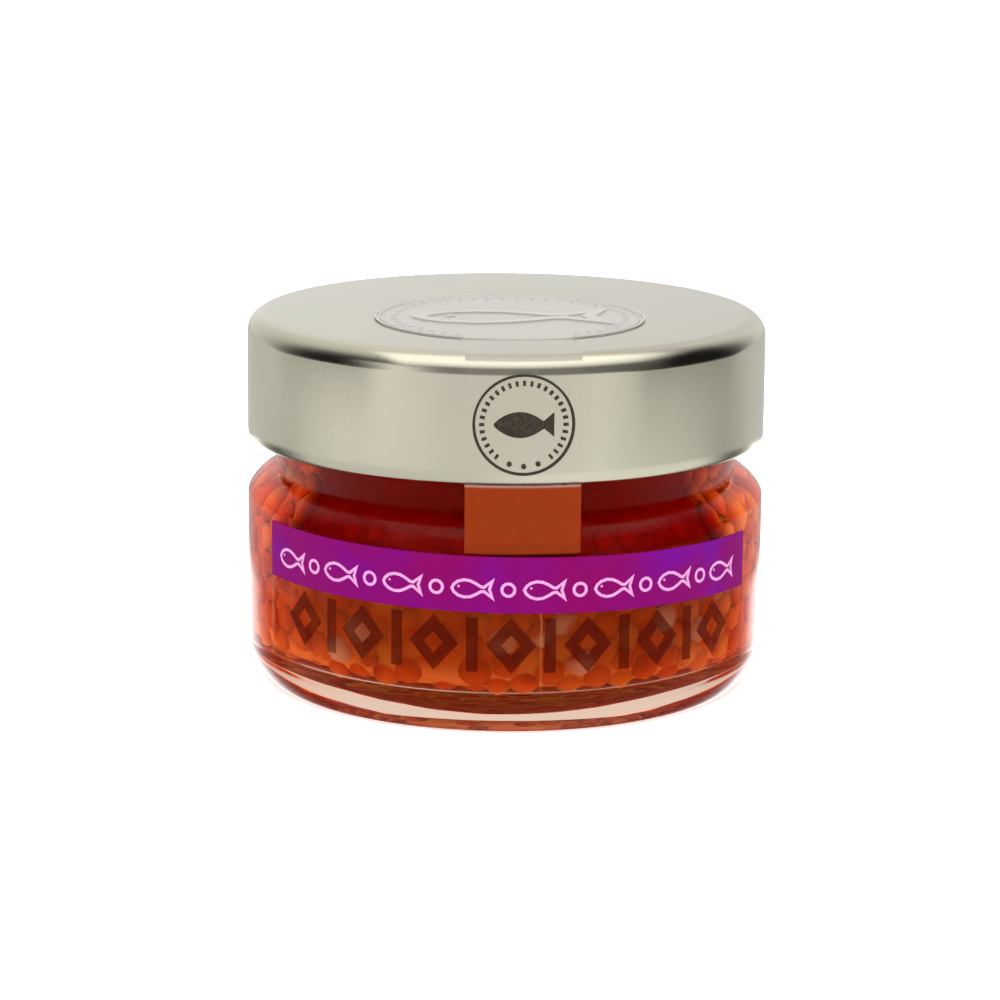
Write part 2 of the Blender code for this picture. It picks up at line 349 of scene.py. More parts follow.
# the glass and the roe in it, in mm and degrees
glass = {
    "radius": 33.0, "neckRadius": 29.4, "neckFoot": 27.0, "shoulderFoot": 23.9, "shoulderPower": 1.45,
    "heelHeight": 4.6, "heelPower": 1.4, "footRadius": 30.4, "wall": 2.4, "floor": 4.3, "innerHeel": 4.5,
    "puntRadius": 27.5, "puntDepth": 1.93, "puntSlope": 2.5, "rim": 45.9, "rimRounding": 0.8, "sides": 128,
}
roe = {
    "eggs": 1400, "smallest": 1.8, "largest": 2.15, "depth": 4.6, "press": 0.8, "level": 34.0,
    "darkEnds": 58, "darkFoot": 19.5, "sunk": 1.2, "rounds": 140, "seed": 7,
    "coreInset": 1.15, "coreFoot": 0.6, "brineReach": 0.15, "fill": 43.5,
    # the pale places (turn in degrees, height in mm) mark eggs that get a pale pink tone: partly paler eggs, partly
    # painted highlight
    "pale": [(-33, 11.8), (-43.5, 7.4), (50, 30), (40.6, 12.9), (48, 9.8), (-4, 11.8), (2, 11.6), (7, 12.2),
             (16, 13), (17, 10)],
}


def cavityOutline(inset, top, steps=10):
    # the jar's inside, moved in by inset, from the axis on the floor up to the height top
    wall = glass["radius"] - glass["wall"]
    neck = glass["neckRadius"] - glass["wall"]
    corner = (wall - glass["innerHeel"], glass["floor"] + glass["innerHeel"])
    slope = atan2(glass["radius"] - glass["neckRadius"], glass["neckFoot"] - glass["shoulderFoot"])
    drop = (glass["wall"] + inset) * tan(slope / 2)
    foot = glass["shoulderFoot"] - drop
    head = glass["neckFoot"] - drop
    return [
        (0, glass["floor"] + inset),
        *arc(corner, glass["innerHeel"] - inset, -90, 0, steps),
        *powerArc((neck - inset, foot), (wall - inset, foot), (neck - inset, head), glass["shoulderPower"], steps),
        (neck - inset, top),
    ]


def glassOutline(steps=12):
    rim = glass["rim"]
    rounding = glass["rimRounding"]
    return [
        (0, glass["puntDepth"]),
        (glass["puntRadius"] - glass["puntSlope"], glass["puntDepth"]),
        (glass["puntRadius"] - 1.3, glass["puntDepth"] * 0.62),
        (glass["puntRadius"] - 0.5, glass["puntDepth"] * 0.12),
        (glass["puntRadius"] + 0.3, 0),
        *powerArc((glass["footRadius"], glass["heelHeight"]), (glass["footRadius"], 0),
                  (glass["radius"], glass["heelHeight"]), glass["heelPower"], steps),
        *powerArc((glass["neckRadius"], glass["shoulderFoot"]), (glass["radius"], glass["shoulderFoot"]),
                  (glass["neckRadius"], glass["neckFoot"]), glass["shoulderPower"], steps),
        (glass["neckRadius"], rim - rounding),
        (glass["neckRadius"] - 0.3 * rounding, rim - 0.3 * rounding),
        (glass["neckRadius"] - rounding, rim),
        (glass["neckRadius"] - glass["wall"] + 0.4, rim),
        *cavityOutline(0, rim - rounding)[::-1],
    ]


def nearestOnWall(points, outline):
    # for each (radius, height): the distance to the outline, negative beyond it, and the way inwards
    starts = np.array(outline[:-1])
    ways = np.array(outline[1:]) - starts
    lengths = (ways ** 2).sum(1)
    offset = points[:, None, :] - starts[None]
    share = np.clip((offset * ways[None]).sum(2) / lengths[None], 0, 1)
    away = offset - share[..., None] * ways[None]
    distance = np.sqrt((away ** 2).sum(2))
    rows = np.arange(len(points))
    best = distance.argmin(1)
    normals = np.column_stack([-ways[:, 1], ways[:, 0]]) / np.sqrt(lengths)[:, None]
    side = np.sign((away[rows, best] * normals[best]).sum(1) + 1e-9)
    nearest = np.maximum(distance[rows, best], 1e-6)
    inwards = away[rows, best] / nearest[:, None] * side[:, None]
    return nearest * side, inwards


# Soda-lime container glass, moulded: clear and very smooth, with the mould's slow waves, which bend reflections
glassFinish, tree, shader = startMaterial(
    "clear moulded jar glass", Base_Color=(0.985, 0.99, 0.985, 1), Roughness=0.0, IOR=1.5, Transmission_Weight=1.0,
    Specular_Tint=(0.12, 0.12, 0.12, 1))
addGrain(tree, shader, 11, 0.25, 0.1, 1.0)

# The same glass where brine wets it: light bends little from glass to oily brine, and turns back only where
# it grazes the inner heel, as a pale arc
wetFinish, tree, shader = startMaterial(
    "jar glass wetted by brine", Base_Color=(1, 1, 1, 1), Roughness=0.0, IOR=1.05, Transmission_Weight=1.0)
addGrain(tree, shader, 11, 0.25, 0.1, 1.0)

# The floor, on which the eggs press flat: light goes straight on into them
pressedFinish, tree, shader = startMaterial(
    "jar floor under pressed eggs", Base_Color=(1, 1, 1, 1), Roughness=0.0, IOR=1.0, Transmission_Weight=1.0)
addGrain(tree, shader, 11, 0.25, 0.1, 1.0)

# The shoulder, fire-polished: the studio's top light draws a fine bright line along it
shoulderFinish, tree, shader = startMaterial(
    "fire-polished jar shoulder", Base_Color=(0.985, 0.99, 0.985, 1), Roughness=0.0, IOR=1.3,
    Transmission_Weight=1.0, Specular_Tint=(0.5, 0.5, 0.5, 1))
addGrain(tree, shader, 11, 0.25, 0.1, 1.0)

# The underside, a little uneven from the mould
footFinish, tree, shader = startMaterial(
    "moulded jar foot", Base_Color=(0.98, 0.985, 0.98, 1), Roughness=0.03, IOR=1.5, Transmission_Weight=1.0)
addGrain(tree, shader, 5, 0.3, 0.1, 1.0)

# The heel: a painted pink cast on the clear glass, on the light that crosses it, standing in for the roe's colour
# carried through the thick glass
pinkCastHeelFinish, tree, shader = startMaterial(
    "thick jar heel, painted pink cast", Base_Color=(0.88, 0.64, 0.5, 1), Roughness=0.0, IOR=1.5, Transmission_Weight=1.0,
    Specular_Tint=(0.12, 0.12, 0.12, 1))
addGrain(tree, shader, 11, 0.25, 0.1, 1.0)

jar = settle(spinShape(glassOutline(), glass["sides"]), "jarGlass", glassFinish, "glass_jar")
for finish in (wetFinish, shoulderFinish, footFinish, pinkCastHeelFinish, pressedFinish):
    jar.data.materials.append(finish)
middles = np.array([(hypot(face.center.x, face.center.y) / mm, face.center.z / mm) for face in jar.data.polygons])
gaps, _ = nearestOnWall(middles, cavityOutline(0, roe["fill"]))
for face, gap in zip(jar.data.polygons, gaps):
    height = face.center.z / mm
    if abs(gap) < 0.2:
        face.material_index = 5 if height < glass["floor"] + 0.01 else 1
    elif glass["shoulderFoot"] - 0.2 < height < glass["neckFoot"] + 0.2:
        face.material_index = 2
    elif height < glass["puntDepth"] + 0.05 and hypot(face.center.x, face.center.y) < glass["footRadius"] * mm:
        face.material_index = 3
    elif height < glass["heelHeight"]:
        face.material_index = 4
print("glass: jar with", len(jar.data.polygons), "faces")

# ---- lid
lid = {"radius": 33.0, "top": 47.0, "foot": 31.1, "sheet": 0.8, "shoulder": 2.6, "curl": 0.8, "curlTop": 2.1,
       "innerCorner": 1.3, "sides": 160}


def lidOutline():
    foot = lid["foot"]
    top = lid["top"]
    inner = lid["radius"] - lid["sheet"]
    reach = lid["radius"] - lid["shoulder"]
    return [
        (0, top),
        (reach * 0.6, top),
        *arc((reach, top - lid["shoulder"]), lid["shoulder"], 90, 0, 14),
        (lid["radius"], foot + lid["curl"] * 2.2),
        *arc((lid["radius"] - lid["curl"], foot + lid["curl"]), lid["curl"], 0, -180, 12),
        (inner, foot + lid["curlTop"]),
        (inner, top - lid["sheet"] - lid["innerCorner"]),
        (inner - 0.3 * lid["innerCorner"], top - lid["sheet"] - 0.3 * lid["innerCorner"]),
        (inner - lid["innerCorner"], top - lid["sheet"]),
        (0, top - lid["sheet"]),
    ]


# Tinplate under a champagne lacquer, pressed: a satin mirror with a fine orange-peel grain
lidFinish, tree, shader = startMaterial("satin champagne tinplate", Metallic=1.0)
cloud = addNode(tree, "ShaderNodeTexNoise", {"Vector": objectPlace(tree), "Scale": 45.0, "Detail": 2.0}).outputs["Fac"]
tree.links.new(addRamp(tree, cloud, [(0.35, "d7d5be"), (0.5, "dad5c0"), (0.65, "dad2c0")]), shader.inputs["Base Color"])
peel = addGrain(tree, shader, 0.4, 0.03, 0.02, 2.0)
tree.links.new(ease(tree, peel, 0.3, 0.7, 0.12, 0.16), shader.inputs["Roughness"])
cap = settle(spinShape(lidOutline(), lid["sides"]), "lidShell", lidFinish, "lid")
print("lid: shell with", len(cap.data.polygons), "faces")


# ---- roe
def packEggs():
    # eggs thrown at random into the outer layers push each other apart until they lie close
    draw = np.random.default_rng(roe["seed"])
    wall = cavityOutline(0, roe["level"] + 6)
    count = roe["eggs"]
    sizes = draw.uniform(roe["smallest"], roe["largest"], count)
    marks = np.array(cavityOutline(roe["smallest"] + 1.5, roe["level"]))
    steps = np.hypot(*(marks[1:] - marks[:-1]).T)
    weights = steps * (marks[1:, 0] + marks[:-1, 0])
    pick = draw.choice(len(steps), count, p=weights / weights.sum())
    share = draw.uniform(0, 1, count)[:, None]
    flat = marks[pick] * (1 - share) + marks[pick + 1] * share
    turn = draw.uniform(0, 2 * pi, count)
    places = np.column_stack([flat[:, 0] * np.cos(turn), flat[:, 0] * np.sin(turn), flat[:, 1]])
    places += draw.normal(0, 1.0, places.shape)
    touch = (sizes[:, None] + sizes[None]) * roe["press"]
    for _ in range(roe["rounds"]):
        gaps = places[:, None] - places[None]
        apart = np.sqrt((gaps ** 2).sum(2)) + np.eye(count) * 100
        push = np.clip(touch - apart, 0, None) / apart
        places += 0.28 * (gaps * push[..., None]).sum(1)
        radius = np.hypot(places[:, 0], places[:, 1])
        flat = np.column_stack([radius, places[:, 2]])
        distance, way = nearestOnWall(flat, wall)
        spread = np.degrees(np.abs(np.arctan2(places[:, 0], -places[:, 1])))
        sunk = np.clip((roe["darkEnds"] - spread) / 5, 0, 1) * np.clip((flat[:, 1] - roe["darkFoot"]) / 2, 0, 1)
        shift = np.clip(sizes * 0.93 + sunk * roe["sunk"] - distance, 0, None)
        shift -= np.clip(distance - roe["depth"], 0, None)
        flat += way * shift[:, None]
        flat[:, 1] = np.minimum(flat[:, 1], roe["level"])
        places[:, :2] *= (flat[:, 0] / np.maximum(radius, 1e-6))[:, None]
        places[:, 2] = flat[:, 1]
    return places, sizes, draw


def inTheDark(tree):
    # painted shade: how far the roe lies in the dark, in the shadow behind the label's upper edge and under the lid
    axes = addNode(tree, "ShaderNodeSeparateXYZ", {"Vector": objectPlace(tree)}).outputs
    away = addNode(tree, "ShaderNodeMath", {0: axes["Y"], 1: -1.0}, operation="MULTIPLY").outputs[0]
    turn = addNode(tree, "ShaderNodeMath", {0: axes["X"], 1: away}, operation="ARCTAN2").outputs[0]
    turn = addNode(tree, "ShaderNodeMath", {0: turn}, operation="ABSOLUTE").outputs[0]
    behind = ease(tree, turn, radians(roe["darkEnds"] + 5), radians(roe["darkEnds"] - 5))
    high = ease(tree, axes["Z"], roe["darkFoot"] * mm, (roe["darkFoot"] + 2.5) * mm)
    dark = addNode(tree, "ShaderNodeMath", {0: behind, 1: high}, operation="MULTIPLY").outputs[0]
    under = ease(tree, axes["Z"], 27.5 * mm, 31 * mm, 0, 0.8)
    return addNode(tree, "ShaderNodeMath", {0: dark, 1: under}, operation="MAXIMUM").outputs[0]


# Brine with the eggs' oil in it, tinted orange, so deep gaps between eggs go dark and red
# The jar's wetted side already bends the light, so this surface bends none
brineFinish, tree, shader = startMaterial(
    "orange roe brine", Base_Color=(1.0, 0.95, 0.9, 1), Roughness=0.0, IOR=1.0, Transmission_Weight=1.0)
addGrain(tree, shader, 8, 0.1, 0.05, 1.0)
soak = addNode(tree, "ShaderNodeVolumeAbsorption", {"Color": (1.0, 0.46, 0.12, 1), "Density": 260.0})
tree.links.new(soak.outputs["Volume"], tree.nodes["Material Output"].inputs["Volume"])
brineOutline = [*cavityOutline(-roe["brineReach"], roe["fill"]), (0, roe["fill"])]
settle(spinShape(brineOutline, glass["sides"]), "roeBrine", brineFinish, "roe")

# The deep of the heap, which shows only as dark red between the eggs
coreFinish, tree, shader = startMaterial("deep roe", Roughness=0.5, Specular_IOR_Level=0.0)
cells = addNode(tree, "ShaderNodeTexVoronoi", {"Vector": objectPlace(tree), "Scale": 260.0}).outputs["Distance"]
deep = addRamp(tree, cells, [(0.1, "ea6e24"), (0.7, "d25214")])
# painted light: the deep roe is a lighter orange near the jar's floor, where light comes up through the glass base
paintedLightFromBelow = ease(tree, addNode(tree, "ShaderNodeSeparateXYZ", {"Vector": objectPlace(tree)}).outputs["Z"], 0.009, 0.006)
deep = blendColours(tree, paintedLightFromBelow, deep, fromHex("ff9a50"))
# painted shade: the deep roe turns dark red where it lies in the shadow behind the label and under the lid
tree.links.new(blendColours(tree, inTheDark(tree), deep, fromHex("800400")), shader.inputs["Base Color"])
bump = addNode(tree, "ShaderNodeBump", {"Height": cells, "Strength": 0.8, "Distance": 1.0 * mm})
tree.links.new(bump.outputs["Normal"], shader.inputs["Normal"])
side = glass["radius"] - glass["wall"] - roe["coreInset"]
foot = glass["floor"] + roe["coreFoot"]
throat = glass["neckRadius"] - glass["wall"] - roe["coreInset"]
coreOutline = [(0, foot), *arc((side - 4, foot + 4), 4, -90, 0, 8),
               *powerArc((throat, 21), (side, 21), (throat, 26), glass["shoulderPower"], 8),
               (throat, roe["fill"] - 1), (0, roe["fill"] - 1)]
settle(spinShape(coreOutline, 64), "roeCore", coreFinish, "roe")

# Salmon eggs: a thin firm skin over oily liquid, so light glows through them, with a darker oil spot in each
eggFinish, tree, shader = startMaterial(
    "salmon egg skin", Roughness=0.3, IOR=1.05, Subsurface_Weight=1.0, Subsurface_Scale=3.5 * mm,
    Subsurface_Radius=(1.0, 0.22, 0.06))
tone = addNode(tree, "ShaderNodeAttribute", attribute_name="tone").outputs["Fac"]
spot = addNode(tree, "ShaderNodeAttribute", attribute_name="spot").outputs["Fac"]
# the two palest pink stops are reached only by the eggs at the listed pale places, partly a painted highlight
skin = addRamp(tree, tone, [(0.0, "cf4a10"), (0.5, "e4601c"), (0.9, "ef7a2c"), (0.95, "f09c78"), (1.0, "f4ac90")])
skin = blendColours(tree, ease(tree, spot, 0.5, 0.95, 0, 0.8), skin, fromHex("b02a06"))
# painted shade: the eggs turn dark red where they lie in the shadow behind the label and under the lid
skin = blendColours(tree, inTheDark(tree), skin, fromHex("8c0400"))
tree.links.new(skin, shader.inputs["Base Color"])


def buildEggs():
    # one egg with few faces is copied to every place; its tone and spot go along as attributes
    places, sizes, draw = packEggs()
    clearSelection()
    bpy.ops.mesh.primitive_ico_sphere_add(subdivisions=2, radius=1, location=(0, 0, 0))
    pattern = bpy.context.object
    corners = np.array([vertex.co for vertex in pattern.data.vertices])
    faces = np.array([face.vertices[:] for face in pattern.data.polygons])
    bpy.data.objects.remove(pattern, do_unlink=True)
    count = len(places)
    tone = draw.uniform(0.0, 0.9, count)
    # painted highlight: the eggs nearest the listed pale places take the palest pink tone, partly paler eggs and partly
    # standing in for pale glints on the film and glass in front of them
    for spotTurn, spotHeight in roe["pale"]:
        spot = np.array([sin(radians(spotTurn)) * 29, -cos(radians(spotTurn)) * 29, spotHeight])
        tone[((places - spot) ** 2).sum(1).argmin()] = 0.97
    axes = draw.normal(0, 1, (count, 3))
    axes /= np.linalg.norm(axes, axis=1)[:, None]
    stretch = draw.uniform(0.96, 1.04, (count, 1, 3))
    vertices = places[:, None] + corners[None] * stretch * sizes[:, None, None]
    allFaces = (faces[None] + (np.arange(count) * len(corners))[:, None, None]).reshape(-1, 3)
    mesh = bpy.data.meshes.new("salmonEggs")
    mesh.from_pydata((vertices.reshape(-1, 3) * mm).tolist(), [], allFaces.tolist())
    spread = {"tone": np.repeat(tone, len(corners)), "spot": (axes @ corners.T).ravel()}
    for name, values in spread.items():
        mesh.attributes.new(name, "FLOAT", "POINT").data.foreach_set("value", values.astype(np.float32))
    made = bpy.data.objects.new("salmonEggs", mesh)
    bpy.context.scene.collection.objects.link(made)
    return made


eggs = settle(buildEggs(), "salmonEggs", eggFinish, "roe", 180)
print("roe:", len(eggs.data.polygons), "faces of eggs")

# ---- label
label = {"radius": 33.2, "sheet": 0.2, "turn": 1.5, "halfAngle": 61.5, "tilt": 0.9, "bandTop": 22.5, "bandFoot": 15.6,
         "split": 0.1, "filmFoot": 5.6, "columns": 96, "ink": 0.03, "highlightLine": 7.8}


def wrapAround(shape, radius, tilt):
    # lays a flat shape, drawn in mm with x along the label and z up, round the jar
    for vertex in shape.data.vertices:
        x, y, z = vertex.co / mm
        turn = x / glass["radius"]
        reach = radius - y
        vertex.co = Vector((reach * sin(turn), -reach * cos(turn), z - x * tan(radians(tilt)))) * mm
    return shape


def labelSheet(foot, top, rows):
    columns = label["columns"]
    across = [radians(label["turn"] + label["halfAngle"] * (2 * column / columns - 1)) * glass["radius"]
              for column in range(columns + 1)]
    heights = [top + (foot - top) * row / rows for row in range(rows + 1)]
    shape = sheetOf([[(x, 0, height) for x in across] for height in heights])
    return thicken(wrapAround(shape, label["radius"], label["tilt"]), label["sheet"])


# Polypropylene film, printed purple on its back: glossy, with slow shifts of hue
bandFinish, tree, shader = startMaterial("purple printed film", Roughness=0.32, Specular_IOR_Level=0.03)
drift = addNode(tree, "ShaderNodeTexNoise", {"Vector": objectPlace(tree), "Scale": 110.0, "Detail": 1.5}).outputs["Fac"]
tree.links.new(addRamp(tree, drift, [(0.35, "68014a"), (0.52, "640155"), (0.68, "5a026e")]), shader.inputs["Base Color"])
settle(labelSheet(label["bandFoot"], label["bandTop"], 4), "purpleBand", bandFinish, "label_band")

# The clear part of the film: only its gloss and a faint brown cast show; the cast is partly the film's own tint and
# partly painted shade, denser towards the label's middle
filmFinish, tree, shader = startMaterial("clear label film", Roughness=0.25, Specular_IOR_Level=0.03)
drift = addNode(tree, "ShaderNodeTexNoise", {"Vector": objectPlace(tree), "Scale": 140.0, "Detail": 1.5}).outputs["Fac"]
axes = addNode(tree, "ShaderNodeSeparateXYZ", {"Vector": objectPlace(tree)}).outputs
away = addNode(tree, "ShaderNodeMath", {0: axes["Y"], 1: -1.0}, operation="MULTIPLY").outputs[0]
turn = addNode(tree, "ShaderNodeMath", {0: axes["X"], 1: away}, operation="ARCTAN2").outputs[0]
# painted highlight: a thin upright light line on the film, and another at its left end, in a pale tan and denser
highlightLine = addNode(tree, "ShaderNodeMath", {0: turn, 1: radians(label["highlightLine"]), 2: 0.002}, operation="COMPARE").outputs[0]
leftEnd = label["turn"] - label["halfAngle"]
lit = addNode(tree, "ShaderNodeMath", {
    0: highlightLine, 1: ease(tree, turn, radians(leftEnd + 0.8), radians(leftEnd + 0.3))}, operation="MAXIMUM").outputs[0]
cast = addRamp(tree, drift, [(0.35, "6a1c00"), (0.65, "7a2602")])
tree.links.new(blendColours(tree, lit, cast, fromHex("b46840")), shader.inputs["Base Color"])
middle = radians(label["turn"])
away = addNode(tree, "ShaderNodeMath", {0: turn, 1: middle}, operation="SUBTRACT").outputs[0]
away = addNode(tree, "ShaderNodeMath", {0: away}, operation="ABSOLUTE").outputs[0]
# painted shade: the brown cast covers more towards the label's middle and less towards its ends
coverage = ease(tree, away, radians(25), radians(60), 0.26, 0.12)
tree.links.new(addNode(tree, "ShaderNodeMath", {0: coverage, 1: ease(tree, lit, 0, 1, 0, 0.28)}, operation="MAXIMUM").outputs[0],
               shader.inputs["Alpha"])
filmTop = label["bandFoot"] - label["split"]
settle(labelSheet(label["filmFoot"], filmTop, 6), "clearFilm", filmFinish, "label_film")


def ribbon(path, width, closed=False):
    # a flat line of even width along a path of (x, z) points, in mm
    count = len(path)
    left = []
    right = []
    for index in range(count):
        before = path[index - 1] if closed or index else path[0]
        after = path[(index + 1) % count] if closed or index < count - 1 else path[-1]
        here = path[index]
        first = Vector((here[0] - before[0], here[1] - before[1]))
        second = Vector((after[0] - here[0], after[1] - here[1]))
        first = first.normalized() if first.length else second.normalized()
        second = second.normalized() if second.length else first
        way = (first + second).normalized()
        reach = width / 2 / max(way.dot(second), 0.35)
        left.append((here[0] - way.y * reach, 0, here[1] + way.x * reach))
        right.append((here[0] + way.y * reach, 0, here[1] - way.x * reach))
    if closed:
        left.append(left[0])
        right.append(right[0])
    return sheetOf([left, right])


def weld(shape):
    # merges the ends of closed lines and turns every face towards the viewer
    selectOnly(shape)
    bpy.ops.object.mode_set(mode="EDIT")
    bpy.ops.mesh.select_all(action="SELECT")
    bpy.ops.mesh.remove_doubles(threshold=0.005 * mm)
    bpy.ops.object.mode_set(mode="OBJECT")
    for face in shape.data.polygons:
        if face.normal.y > 0:
            face.flip()
    return shape


def circlePath(centre, radius, steps, start=0, end=360):
    closing = 0 if end - start == 360 else 1
    return [(centre[0] + radius * cos(radians(start + (end - start) * step / steps)),
             centre[1] + radius * sin(radians(start + (end - start) * step / steps)))
            for step in range(steps + closing)]


fishSide = [(0, 0), (0.05, 0.22), (0.15, 0.4), (0.3, 0.5), (0.46, 0.46), (0.6, 0.31), (0.72, 0.14), (0.8, 0.12),
            (1.0, 0.48), (0.93, 0)]


def fishPath(centre, length, height):
    # a plain fish's outline, nose to the left, as a closed path
    above = [(centre[0] + (x - 0.5) * length, centre[1] + z * height) for x, z in fishSide]
    below = [(x, 2 * centre[1] - z) for x, z in above[-2:0:-1]]
    return above + below


def diamondPath(centre, width, height):
    corners = [(0, height / 2), (width / 2, 0), (0, -height / 2), (-width / 2, 0)]
    path = []
    for start, end in zip(corners, corners[1:] + corners[:1]):
        for share in (0, 0.4, 0.6):
            path.append((centre[0] + start[0] + (end[0] - start[0]) * share,
                         centre[1] + start[1] + (end[1] - start[1]) * share))
    return path


frieze = {"start": -32.4, "end": 33.4, "fish": 8, "length": 5.2, "height": 2.5, "line": 0.36, "level": 18.5,
          "egg": 1.9, "eye": 0.3}


def friezeShape():
    # a row of small fish with an egg between each two
    pitch = (frieze["end"] - frieze["start"] - frieze["length"]) / (frieze["fish"] - 1)
    line = frieze["line"]
    shapes = []
    for index in range(frieze["fish"]):
        x = frieze["start"] + frieze["length"] / 2 + index * pitch
        path = fishPath((x, frieze["level"]), frieze["length"] - line, frieze["height"] - line)
        shapes.append(ribbon(path, line, True))
        eye = (x - 0.31 * frieze["length"], frieze["level"] + 0.25)
        shapes.append(ribbon(circlePath(eye, frieze["eye"] / 4, 8), frieze["eye"] / 2, True))
        if index < frieze["fish"] - 1:
            egg = circlePath((x + pitch / 2, frieze["level"]), (frieze["egg"] - line) / 2, 20)
            shapes.append(ribbon(egg, line, True))
    return weld(joinShapes(shapes))


# Screen ink on the film's face: flat and slightly soft, a pale lilac
friezeInk, tree, shader = startMaterial("lilac screen ink", Roughness=0.5, Specular_IOR_Level=0.2)
tint = addGrain(tree, shader, 0.3, 0.2, 0.02)
tree.links.new(addRamp(tree, tint, [(0.35, "ae74a2"), (0.65, "ba84b0")]), shader.inputs["Base Color"])
outside = label["radius"] + label["sheet"]
shape = thicken(wrapAround(friezeShape(), outside, label["tilt"]), label["ink"])
settle(shape, "bandFrieze", friezeInk, None)

netting = {"start": -30.2, "end": 32.0, "meshes": 7, "width": 6.0, "foot": 8.2, "top": 15.0, "line": 1.4}


def nettingShape():
    # open net meshes with an upright float line between each two
    pitch = (netting["end"] - netting["start"] - netting["width"]) / (netting["meshes"] - 1)
    level = (netting["foot"] + netting["top"]) / 2
    height = netting["top"] - netting["foot"]
    shapes = []
    for index in range(netting["meshes"]):
        x = netting["start"] + netting["width"] / 2 + index * pitch
        path = diamondPath((x, level), netting["width"] - netting["line"] * 1.3, height - netting["line"] * 1.4)
        shapes.append(ribbon(path, netting["line"], True))
        if index < netting["meshes"] - 1:
            middle = x + pitch / 2
            bar = [(middle, netting["foot"] + height * step / 4) for step in range(5)]
            shapes.append(ribbon(bar, netting["line"]))
    return weld(joinShapes(shapes))


# A see-through dark ink on the clear film: brown-red over the roe
nettingInk, tree, shader = startMaterial("dark glazing ink", Roughness=0.4, Specular_IOR_Level=0.03, Alpha=0.48)
tint = addGrain(tree, shader, 0.3, 0.2, 0.02)
tree.links.new(addRamp(tree, tint, [(0.35, "420300"), (0.65, "520801")]), shader.inputs["Base Color"])
shape = thicken(wrapAround(nettingShape(), outside, label["tilt"]), label["ink"])
settle(shape, "filmNetting", nettingInk, None)
print("label: band, film and their prints are wrapped")

# ---- seal
headPrint = {"ring": 16.9, "line": 0.26, "gap": 24, "ticks": 48, "tickInner": 14.2, "tickOuter": 15.0, "length": 23.0,
             "height": 8.6, "stroke": 1.8}
seal = {"headRadius": 17.6, "forward": 5.8, "tailWidth": 14.0, "angle": 3.8, "gap": 0.05, "sheet": 0.1, "columns": 16}


def sealShape():
    half = seal["tailWidth"] / 2
    top = lid["top"] + seal["gap"]
    start = asin(half / seal["headRadius"])
    junction = seal["forward"] + seal["headRadius"] * cos(start)
    across = [half * (2 * column / seal["columns"] - 1) for column in range(seal["columns"] + 1)]
    reach = lid["radius"] - lid["shoulder"]
    track = arc((reach, lid["top"] - lid["shoulder"]), lid["shoulder"] + seal["gap"], 90, 0, 12)
    outer = track[-1][0]
    track += [(outer, height) for height in (37, 31.1, 27, label["bandTop"] + 0.3)]
    rows = [[(x, -junction, top) for x in across]]
    rows += [[(x, -sqrt(radius ** 2 - x ** 2), height) for x in across] for radius, height in track]
    tail = sheetOf(rows)
    bpy.ops.mesh.primitive_circle_add(vertices=96, radius=seal["headRadius"] * mm, fill_type="NGON",
                                      location=(0, -seal["forward"] * mm, top * mm))
    head = bpy.context.object
    bpy.ops.object.transform_apply(location=True, rotation=True, scale=True)
    bpy.ops.object.mode_set(mode="EDIT")
    bpy.ops.mesh.select_all(action="SELECT")
    bpy.ops.mesh.bisect(plane_co=(0, -junction * mm, 0), plane_no=(0, -1, 0), clear_outer=True, use_fill=False)
    bpy.ops.object.mode_set(mode="OBJECT")
    shape = joinShapes([tail, head])
    bpy.ops.object.mode_set(mode="EDIT")
    bpy.ops.mesh.select_all(action="SELECT")
    bpy.ops.mesh.remove_doubles(threshold=0.05 * mm)
    bpy.ops.mesh.normals_make_consistent(inside=False)
    bpy.ops.object.mode_set(mode="OBJECT")
    if max(shape.data.polygons, key=lambda face: face.area).normal.z < 0:
        shape.data.flip_normals()
    shape.data.transform(Matrix.Rotation(radians(seal["angle"]), 4, "Z"))
    return thicken(shape, seal["sheet"])


# Frosted polyester: a milky lilac haze on the lid; on the glass the tail is painted orange-brown and denser, a painted
# glow of the roe's light through it
sealFinish, tree, shader = startMaterial("frosted seal film", Roughness=0.38, Specular_IOR_Level=0.06)
height = addNode(tree, "ShaderNodeSeparateXYZ", {"Vector": objectPlace(tree)}).outputs["Z"]
onGlass = ease(tree, height, 0.0308, 0.0314, 1, 0)
onTop = ease(tree, height, 0.0462, 0.0471)
# painted light: the tail is orange-brown where it lies on the glass, standing in for the roe glowing through the
# frosted film
colour = blendColours(tree, onGlass, fromHex("cfc8bc"), fromHex("8a3008"))
# painted shade: over the lid's rounded shoulder the film is a darker grey and denser
onShoulder = combineIn(tree, "SUBTRACT", ease(tree, height, 0.0460, 0.0463), ease(tree, height, 0.0468, 0.04705))
colour = blendColours(tree, onTop, colour, fromHex("b0aba8"))
colour = blendColours(tree, onShoulder, colour, fromHex("8f8a80"))
tree.links.new(colour, shader.inputs["Base Color"])
coverage = ease(tree, onGlass, 0, 1, 0.02, 0.52)
turned = radians(seal["angle"])
headPlace = (sin(turned) * seal["forward"] * mm, -cos(turned) * seal["forward"] * mm, (lid["top"] + seal["gap"]) * mm)
fromHead = addNode(tree, "ShaderNodeVectorMath", {0: objectPlace(tree), 1: headPlace}, operation="DISTANCE").outputs["Value"]
milky = ease(tree, fromHead, (headPrint["ring"] + 0.3) * mm, (headPrint["ring"] - 0.1) * mm, 0.02, 0.32)
milky = addNode(tree, "ShaderNodeMath", {0: milky, 1: onTop}, operation="MULTIPLY").outputs[0]
milky = combineIn(tree, "ADD", milky, combineIn(tree, "MULTIPLY", onShoulder, 0.55))
tree.links.new(combineIn(tree, "ADD", coverage, milky), shader.inputs["Alpha"])
addGrain(tree, shader, 0.5, 0.1, 0.03)
tree.nodes.active = shader
settle(sealShape(), "sealSticker", sealFinish, "seal")

emblem = {"level": 38.6, "ring": 6.0, "line": 0.3, "ticks": 36, "tickInner": 4.75, "tickOuter": 5.35}


